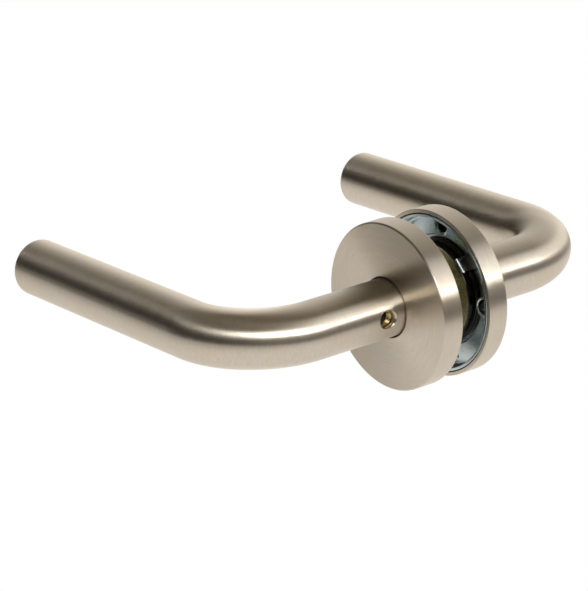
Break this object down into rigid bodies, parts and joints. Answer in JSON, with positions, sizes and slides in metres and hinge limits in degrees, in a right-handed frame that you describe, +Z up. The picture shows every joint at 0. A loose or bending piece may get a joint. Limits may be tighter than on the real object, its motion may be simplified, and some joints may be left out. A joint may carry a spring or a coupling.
{
  "type": "lever door handle pair",
  "caption": "Pair of tubular L-shaped lever door handles on round sprung roses, mounted back to back on one square spindle.",
  "frame": {"origin": "on the spindle's axis, midway between the backs of the two roses, at the middle of the door that they clamp", "axes": "+Y along the spindle from the outside set to the inside set, +Z up, both grips point along -X"},
  "size_m": [0.1395, 0.1606, 0.055],
  "materials": {
    "satin_stainless": "satin brushed stainless steel",
    "zinc_plate": "bright blue-white zinc plating on steel",
    "yellow_passivated": "olive-yellow passivated zinc on steel",
    "turned_brass": "turned brass",
    "black_nylon": "black nylon",
    "spring_steel": "oiled spring steel",
    "blackened_steel": "black oxide steel"
  },
  "bodies": {
    "outside_rose": {"outside_mounting_plate": "zinc_plate", "outside_bearing_bush": "black_nylon", "outside_spring_housing": "yellow_passivated", "outside_torsion_spring": "spring_steel"},
    "outside_cover": {"outside_rose_cover": "satin_stainless"},
    "outside_lever": {"outside_lever_tube": "satin_stainless", "outside_grip_cap": "satin_stainless", "outside_neck_core": "turned_brass", "outside_grub_screw": "blackened_steel", "outside_drive_ring": "yellow_passivated", "outside_thrust_washer": "zinc_plate", "outside_retaining_ring": "spring_steel"},
    "spindle": {"square_spindle": "zinc_plate"},
    "inside_rose": {"inside_mounting_plate": "zinc_plate", "inside_bearing_bush": "black_nylon", "inside_spring_housing": "yellow_passivated", "inside_torsion_spring": "spring_steel"},
    "inside_cover": {"inside_rose_cover": "satin_stainless"},
    "inside_lever": {"inside_lever_tube": "satin_stainless", "inside_grip_cap": "satin_stainless", "inside_neck_core": "turned_brass", "inside_grub_screw": "blackened_steel", "inside_drive_ring": "yellow_passivated", "inside_thrust_washer": "zinc_plate", "inside_retaining_ring": "spring_steel"}
  },
  "joints": [
    {"name": "outside_lever_turn", "type": "hinge", "parent": "outside_rose", "child": "outside_lever", "pos_m": [0, 0, 0], "axis": [0, -1, 0], "range_deg": [0, 45], "stiffness_Nm_per_rad": 0.6, "springref_deg": -28.65, "deforming": ["outside_torsion_spring"]},
    {"name": "inside_lever_turn", "type": "hinge", "parent": "inside_rose", "child": "inside_lever", "pos_m": [0, 0, 0], "axis": [0, -1, 0], "range_deg": [0, 45], "stiffness_Nm_per_rad": 0.6, "springref_deg": -28.65, "deforming": ["inside_torsion_spring"]},
    {"name": "door_thickness", "type": "slide", "parent": "outside_rose", "child": "inside_rose", "axis": [0, 1, 0], "range_m": [0, 0.0325]},
    {"name": "spindle_slide", "type": "slide", "parent": "outside_lever", "child": "spindle", "axis": [0, 1, 0], "range_m": [0, 0.01625]},
    {"name": "outside_cover_slide", "type": "slide", "parent": "outside_rose", "child": "outside_cover", "axis": [0, -1, 0], "range_m": [0, 0.02]},
    {"name": "inside_cover_slide", "type": "slide", "parent": "inside_rose", "child": "inside_cover", "axis": [0, 1, 0], "range_m": [0, 0.02]}
  ],
  "couplings": [
    {"joint": "inside_lever_turn", "follows": "outside_lever_turn", "ratio": 1},
    {"joint": "spindle_slide", "follows": "door_thickness", "ratio": 0.5}
  ]
}
